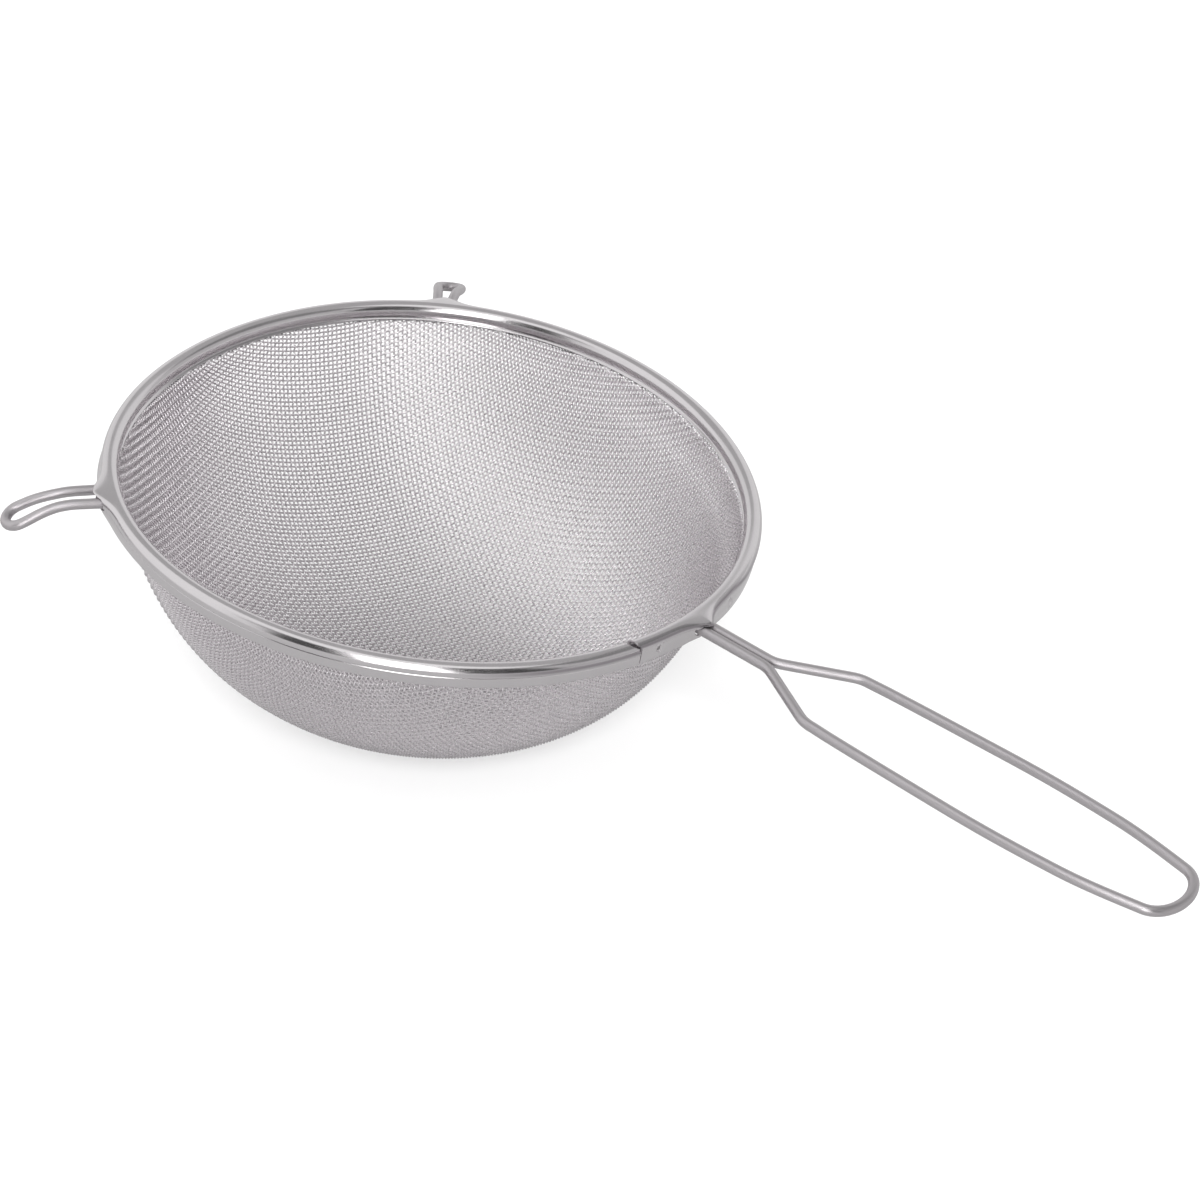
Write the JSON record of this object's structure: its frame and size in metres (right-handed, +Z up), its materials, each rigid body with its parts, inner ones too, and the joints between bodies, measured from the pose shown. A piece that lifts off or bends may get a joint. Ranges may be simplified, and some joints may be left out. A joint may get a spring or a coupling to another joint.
{
  "type": "mesh strainer",
  "caption": "Round woven-wire strainer with a rolled sheet rim, a long wire loop handle and bent wire hooks that rest on a pot.",
  "frame": {"origin": "middle of the small flat under the bowl, where the strainer stands on a table", "axes": "+Z up as it stands, +X from the bowl towards the handle, +Y to the left of the handle; the bowl's axis leans 6.9 degrees towards +X"},
  "size_m": [0.3646, 0.2107, 0.0903],
  "materials": {
    "mesh": "bright woven stainless wire",
    "rim": "polished stainless sheet",
    "wire": "satin stainless wire"
  },
  "bodies": {
    "root": {"mesh_bowl": "mesh", "rim_band": "rim", "handle_wire": "wire", "hook_wire_left": "wire", "hook_wire_back": "wire", "weld_front": "rim", "weld_rear": "rim"}
  },
  "joints": []
}
